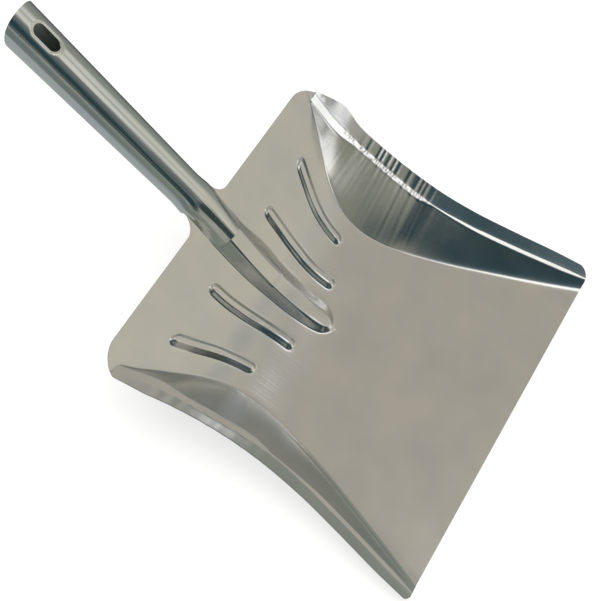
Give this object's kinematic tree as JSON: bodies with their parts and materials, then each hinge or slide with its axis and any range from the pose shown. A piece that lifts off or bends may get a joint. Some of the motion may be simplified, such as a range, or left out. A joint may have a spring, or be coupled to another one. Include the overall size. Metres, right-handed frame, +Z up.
{
  "type": "dustpan",
  "caption": "Hand dustpan pressed from zinc-plated sheet steel, with flared side walls, pressed stiffening ribs and a rolled tube handle with a hanging hole.",
  "frame": {"origin": "middle of the front edge of the pan, on the ground under the flat floor", "axes": "+Y runs from the front edge back to the handle, +X is the right-hand wall seen from behind the handle, +Z is up from the ground"},
  "size_m": [0.2524, 0.3485, 0.1551],
  "materials": {
    "zinc_sheet": "satin zinc plating",
    "zinc_tube": "satin zinc plating"
  },
  "bodies": {
    "root": {"pan": "zinc_sheet", "handle_tube": "zinc_tube"}
  },
  "joints": []
}
